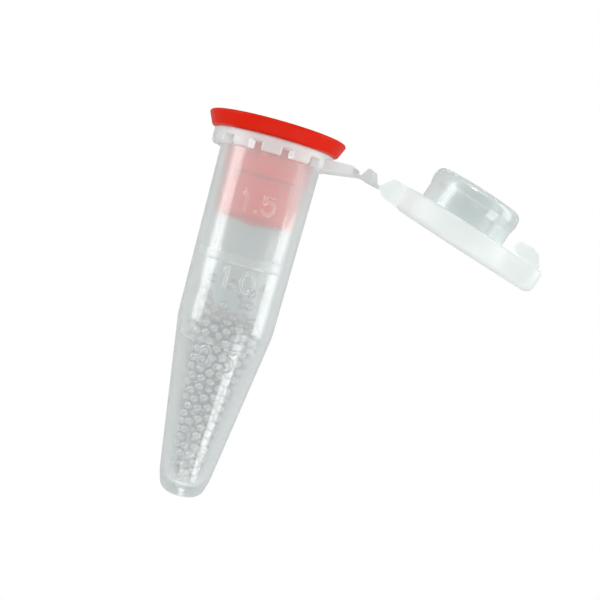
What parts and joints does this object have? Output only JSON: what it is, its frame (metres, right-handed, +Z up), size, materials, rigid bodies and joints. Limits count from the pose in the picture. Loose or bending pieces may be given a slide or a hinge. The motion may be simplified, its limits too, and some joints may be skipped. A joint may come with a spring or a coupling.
{
  "type": "microcentrifuge tube",
  "caption": "Small conical snap-lid tube of translucent plastic, lid open on a living-hinge strap, mouth closed by a flanged stopper, cone filled with round beads.",
  "frame": {"origin": "on the tube's axis, in the plane where the gussets under its collar end and it rests in a rack", "axes": "+Z up along the tube's axis, out of its mouth; +X from the axis towards the lid's strap; -Y is the front, which carries the graduations"},
  "size_m": [0.0376, 0.0148, 0.0404],
  "materials": {
    "translucent_plastic": "smooth moulded, translucent, milky",
    "red_plastic": "satin",
    "bead_glass": "smooth"
  },
  "bodies": {
    "tube": {"tube_body": "translucent_plastic", "bead_bed": "bead_glass", "bead_01": "bead_glass", "bead_02": "bead_glass", "bead_03": "bead_glass", "bead_04": "bead_glass", "bead_05": "bead_glass", "bead_06": "bead_glass", "bead_07": "bead_glass", "bead_08": "bead_glass", "bead_09": "bead_glass", "bead_10": "bead_glass", "bead_11": "bead_glass", "bead_12": "bead_glass", "bead_13": "bead_glass", "bead_14": "bead_glass", "bead_15": "bead_glass", "bead_16": "bead_glass", "bead_17": "bead_glass", "bead_18": "bead_glass", "bead_19": "bead_glass", "bead_20": "bead_glass", "bead_21": "bead_glass", "bead_22": "bead_glass", "bead_23": "bead_glass", "bead_24": "bead_glass", "bead_25": "bead_glass", "bead_26": "bead_glass", "bead_27": "bead_glass", "bead_28": "bead_glass", "bead_29": "bead_glass", "bead_30": "bead_glass", "bead_31": "bead_glass", "bead_32": "bead_glass", "bead_33": "bead_glass", "bead_34": "bead_glass"},
    "strap_link": {"hinge_link": "translucent_plastic"},
    "lid": {"lid": "translucent_plastic"},
    "stopper": {"stopper": "red_plastic"}
  },
  "joints": [
    {"name": "strap_hinge", "type": "hinge", "parent": "tube", "child": "strap_link", "pos_m": [0.0098, 0, 0.0004], "axis": [0, -1, 0], "range_deg": [-42, 70], "stiffness_Nm_per_rad": 0.0002, "springref_deg": 9.74},
    {"name": "lid_hinge", "type": "hinge", "parent": "strap_link", "child": "lid", "pos_m": [0.01205, 0, -0.00012], "axis": [0, -1, 0], "range_deg": [-42, 70], "stiffness_Nm_per_rad": 0.0002, "springref_deg": 9.74},
    {"name": "stopper_lift", "type": "slide", "parent": "tube", "child": "stopper", "axis": [0, 0, 1], "range_m": [0, 0.03]}
  ],
  "couplings": [
    {"joint": "strap_hinge", "follows": "lid_hinge", "ratio": 1}
  ]
}
